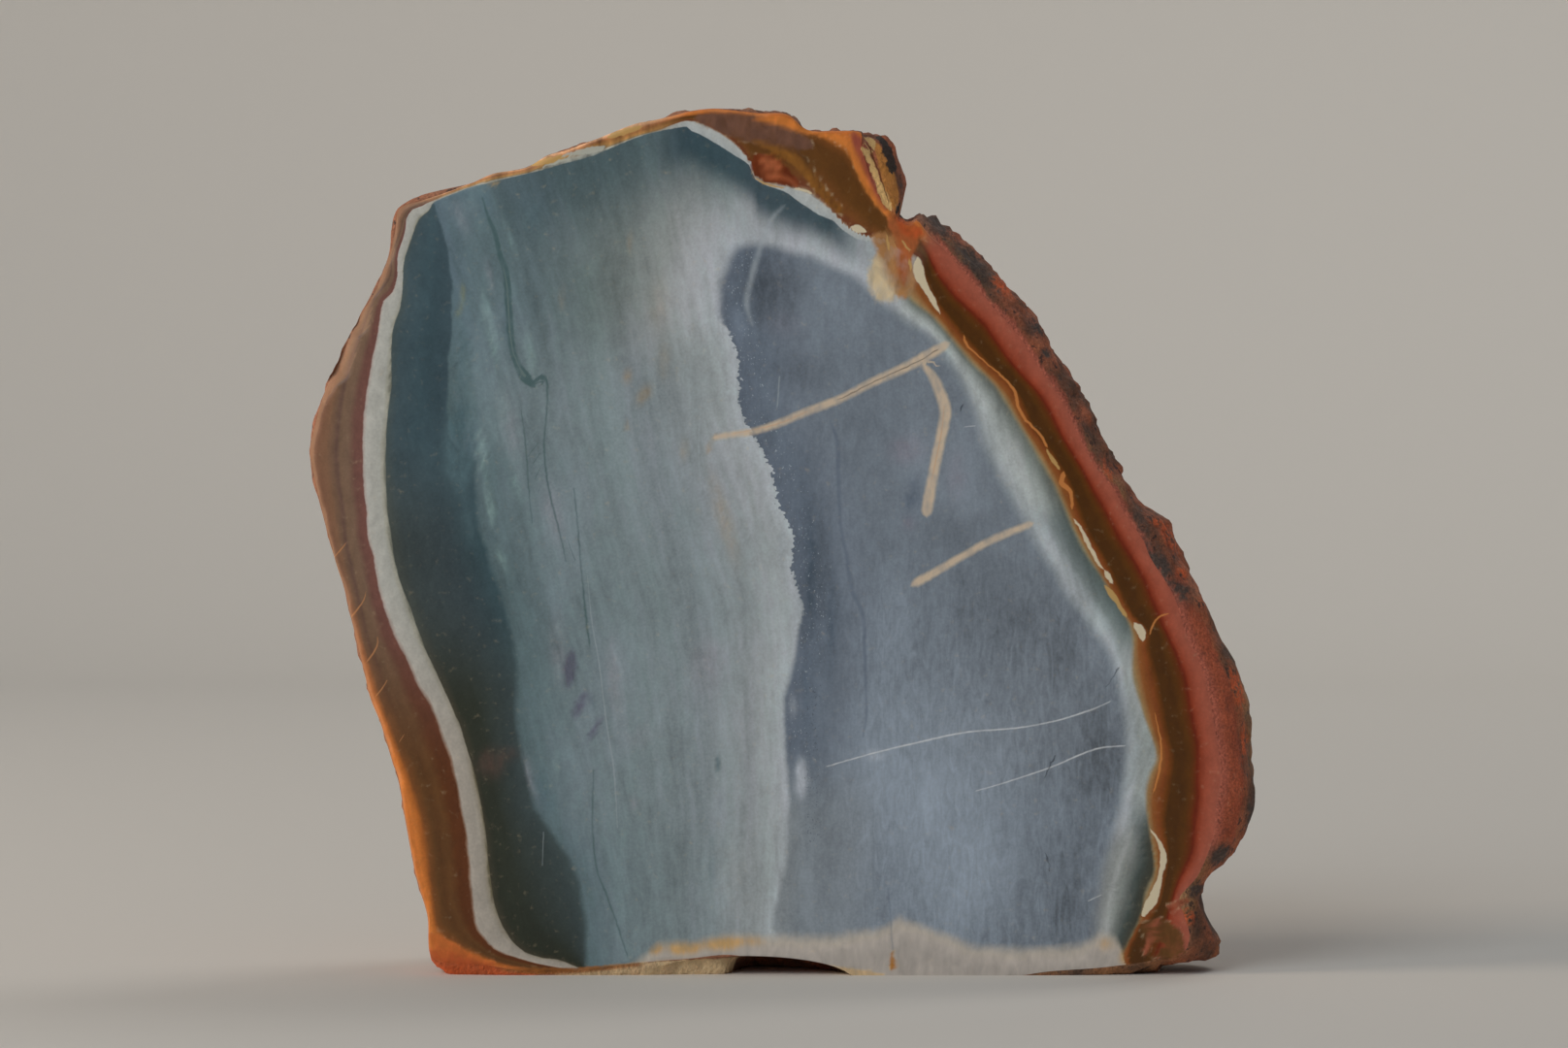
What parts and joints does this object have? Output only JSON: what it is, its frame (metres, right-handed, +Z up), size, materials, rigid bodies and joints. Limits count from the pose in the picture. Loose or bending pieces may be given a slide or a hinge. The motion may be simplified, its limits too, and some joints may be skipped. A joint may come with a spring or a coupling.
{
  "type": "polychrome jasper",
  "caption": "Hand-sized piece of banded jasper, sawn and polished on one flat face, with a lumpy natural rind behind it and a flat base to stand on.",
  "frame": {"origin": "middle of the stone's width and depth, on the plane of its flat base", "axes": "+X to the right along the polished face, +Y from the polished face into the stone, +Z up"},
  "size_m": [0.1521, 0.0446, 0.1386],
  "materials": {
    "jasper": "satin-polished slate-blue and teal face with white, olive and brick-red bands; matt earthy rind"
  },
  "bodies": {
    "root": {"jasper": "jasper"}
  },
  "joints": []
}
